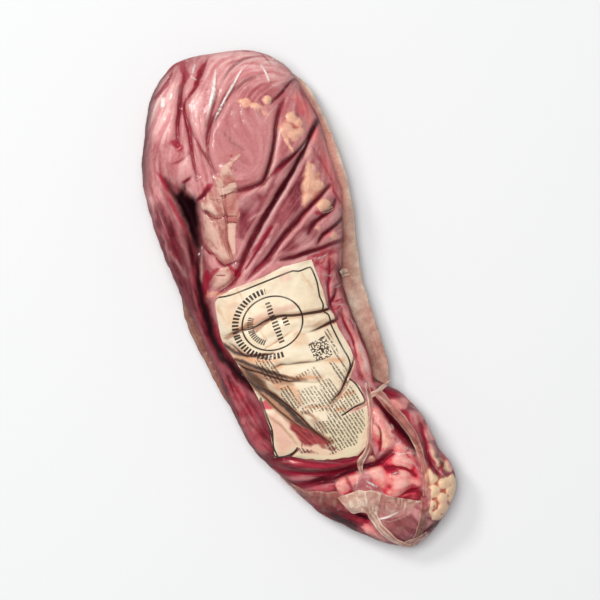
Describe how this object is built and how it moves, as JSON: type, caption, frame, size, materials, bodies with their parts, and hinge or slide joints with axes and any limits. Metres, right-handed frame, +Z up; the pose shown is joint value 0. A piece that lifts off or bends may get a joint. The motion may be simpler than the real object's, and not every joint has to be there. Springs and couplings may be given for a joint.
{
  "type": "vacuum-packed raw beef tenderloin",
  "caption": "Whole raw beef tenderloin with a folded tail, sealed in a clear shrink bag with a paper label under the film.",
  "frame": {"origin": "centre of the bounding box at its lowest face, on the surface that the pack lies on", "axes": "+Y along the cut from its folded tail to its thick head, +X across it to the right as seen from above, +Z up"},
  "size_m": [0.1376, 0.3585, 0.066],
  "materials": {
    "meat_in_film": "raw red muscle and cream fat under clear glossy shrink film",
    "label_paper": "cream label paper, damp and creased, under the film"
  },
  "bodies": {
    "root": {"sealed_pack": "meat_in_film", "paper_label": "label_paper"}
  },
  "joints": []
}
